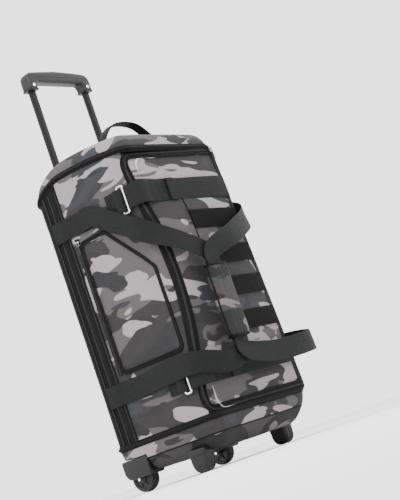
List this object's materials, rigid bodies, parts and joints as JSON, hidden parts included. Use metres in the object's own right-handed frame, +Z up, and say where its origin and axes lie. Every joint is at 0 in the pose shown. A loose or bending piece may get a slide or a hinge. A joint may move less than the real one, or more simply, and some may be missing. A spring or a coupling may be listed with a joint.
{
  "type": "rolling duffel bag",
  "caption": "Upright wheeled duffel bag with a side-hinged zipped lid, side pocket flaps, compression straps, carry handles and a telescopic trolley handle.",
  "frame": {"origin": "under the middle of the whole bag's box, on the floor that its wheels and feet stand on", "axes": "+Z up along the bag's length, -Y towards the lid side, +Y towards the trolley side, X across the bag"},
  "size_m": [0.3812, 0.3536, 0.9802],
  "materials": {
    "camouflage": "woven polyester, matt, printed in greys",
    "black_fabric": "woven polyester, matt black",
    "webbing": "ribbed black webbing",
    "lining": "thin silver grey lining",
    "board": "stiffener sheet",
    "tube": "black anodised, satin",
    "plastic": "moulded, fine grain",
    "metal": "bright plated steel",
    "rubber": "soft black tyre"
  },
  "bodies": {
    "bag": {"back_panel": "black_fabric", "left_side_panel": "camouflage", "right_side_panel": "camouflage", "front_rim": "black_fabric", "top_end_panel": "camouflage", "wheel_end_panel": "camouflage", "back_board": "board", "base_board": "board", "left_pocket_lining": "lining", "right_pocket_lining": "lining", "trolley_collar": "plastic", "trolley_outer_tube_left": "tube", "trolley_outer_tube_right": "tube", "wheel_housing_left": "plastic", "wheel_housing_right": "plastic", "axle_left": "metal", "axle_right": "metal", "front_foot_left": "plastic", "front_foot_right": "plastic", "upper_strap_anchor": "webbing", "lower_strap_anchor": "webbing", "upper_anchor_loop": "webbing", "lower_anchor_loop": "webbing", "left_handle_anchor_upper": "webbing", "left_handle_anchor_lower": "webbing", "right_handle_anchor_upper": "webbing", "right_handle_anchor_lower": "webbing"},
    "lid": {"main_lid": "camouflage", "lid_zip_trim": "black_fabric", "lid_webbing_1": "webbing", "lid_webbing_2": "webbing", "lid_webbing_3": "webbing", "lid_webbing_4": "webbing", "upper_strap": "webbing", "lower_strap": "webbing", "upper_buckle": "metal", "lower_buckle": "metal"},
    "lid_slider": {"lid_slider": "metal"},
    "lid_pull": {"lid_pull": "metal"},
    "left_carry_handle": {"left_handle": "webbing", "handle_wrap": "camouflage"},
    "right_carry_handle": {"right_handle": "webbing"},
    "left_flap": {"left_pocket_flap": "camouflage"},
    "right_flap": {"right_pocket_flap": "camouflage"},
    "left_slider": {"left_pocket_slider": "metal"},
    "left_pull": {"left_pocket_pull": "metal"},
    "right_slider": {"right_pocket_slider": "metal"},
    "right_pull": {"right_pocket_pull": "metal"},
    "grab_handle": {"top_grab_handle": "webbing"},
    "trolley": {"trolley_inner_tube_left": "tube", "trolley_inner_tube_right": "tube", "grip_lower_shell": "plastic", "grip_upper_shell": "plastic", "grip_screw_left": "metal", "grip_screw_right": "metal"},
    "button": {"grip_button": "plastic", "push_rod_left": "metal", "push_rod_right": "metal"},
    "left_wheel": {"wheel_left": "rubber"},
    "right_wheel": {"wheel_right": "rubber"}
  },
  "joints": [
    {"name": "trolley_slide", "type": "slide", "parent": "bag", "child": "trolley", "axis": [0, 0, 1], "range_m": [-0.213, 0]},
    {"name": "button_press", "type": "slide", "parent": "trolley", "child": "button", "axis": [0, 0, -1], "range_m": [0, 0.005], "stiffness_N_per_m": 500, "springref_m": -0.006},
    {"name": "left_wheel_spin", "type": "hinge", "parent": "bag", "child": "left_wheel", "pos_m": [-0.14782, 0.14025, 0.03], "axis": [1, 0, 0], "continuous": true},
    {"name": "right_wheel_spin", "type": "hinge", "parent": "bag", "child": "right_wheel", "pos_m": [0.12618, 0.14025, 0.03], "axis": [1, 0, 0], "continuous": true},
    {"name": "main_lid_hinge", "type": "hinge", "parent": "bag", "child": "lid", "pos_m": [0.14768, -0.11045, 0.392], "axis": [0, 0, 1], "range_deg": [0, 110]},
    {"name": "left_handle_swing", "type": "hinge", "parent": "bag", "child": "left_carry_handle", "pos_m": [-0.17182, 0.03325, 0.39775], "axis": [0, 0, 1], "range_deg": [-92, 0], "deforming": ["left_handle", "handle_wrap"]},
    {"name": "right_handle_swing", "type": "hinge", "parent": "bag", "child": "right_carry_handle", "pos_m": [0.15018, 0.03325, 0.39775], "axis": [0, 0, 1], "range_deg": [0, 102], "deforming": ["right_handle"]},
    {"name": "left_pocket_hinge", "type": "hinge", "parent": "bag", "child": "left_flap", "pos_m": [-0.17182, 0.08375, 0.3955], "axis": [0, 0, -1], "range_deg": [0, 80]},
    {"name": "right_pocket_hinge", "type": "hinge", "parent": "bag", "child": "right_flap", "pos_m": [0.15018, 0.08375, 0.3955], "axis": [0, 0, 1], "range_deg": [0, 80]},
    {"name": "left_zip_run", "type": "slide", "parent": "bag", "child": "left_slider", "axis": [0, 0, 1], "range_m": [-0.285, 0]},
    {"name": "left_pull_swing", "type": "hinge", "parent": "left_slider", "child": "left_pull", "pos_m": [-0.17682, 0.09075, 0.548], "axis": [0, 1, 0], "range_deg": [0, 150]},
    {"name": "right_zip_run", "type": "slide", "parent": "bag", "child": "right_slider", "axis": [0, 0, 1], "range_m": [-0.285, 0]},
    {"name": "right_pull_swing", "type": "hinge", "parent": "right_slider", "child": "right_pull", "pos_m": [0.15518, 0.09075, 0.548], "axis": [0, -1, 0], "range_deg": [0, 150]},
    {"name": "lid_zip_run", "type": "slide", "parent": "lid", "child": "lid_slider", "axis": [1, 0, 0], "range_m": [-0.24, 0]},
    {"name": "lid_pull_swing", "type": "hinge", "parent": "lid_slider", "child": "lid_pull", "pos_m": [0.11418, -0.12265, 0.675], "axis": [-1, 0, 0], "range_deg": [0, 150]},
    {"name": "grab_handle_fold", "type": "hinge", "parent": "bag", "child": "grab_handle", "pos_m": [-0.01082, -0.00175, 0.73685], "axis": [1, 0, 0], "range_deg": [-70, 70], "deforming": ["top_grab_handle"]}
  ],
  "couplings": [
    {"joint": "left_handle_swing", "follows": "main_lid_hinge", "ratio": -0.81818},
    {"joint": "right_handle_swing", "follows": "main_lid_hinge", "ratio": 0.90909}
  ]
}
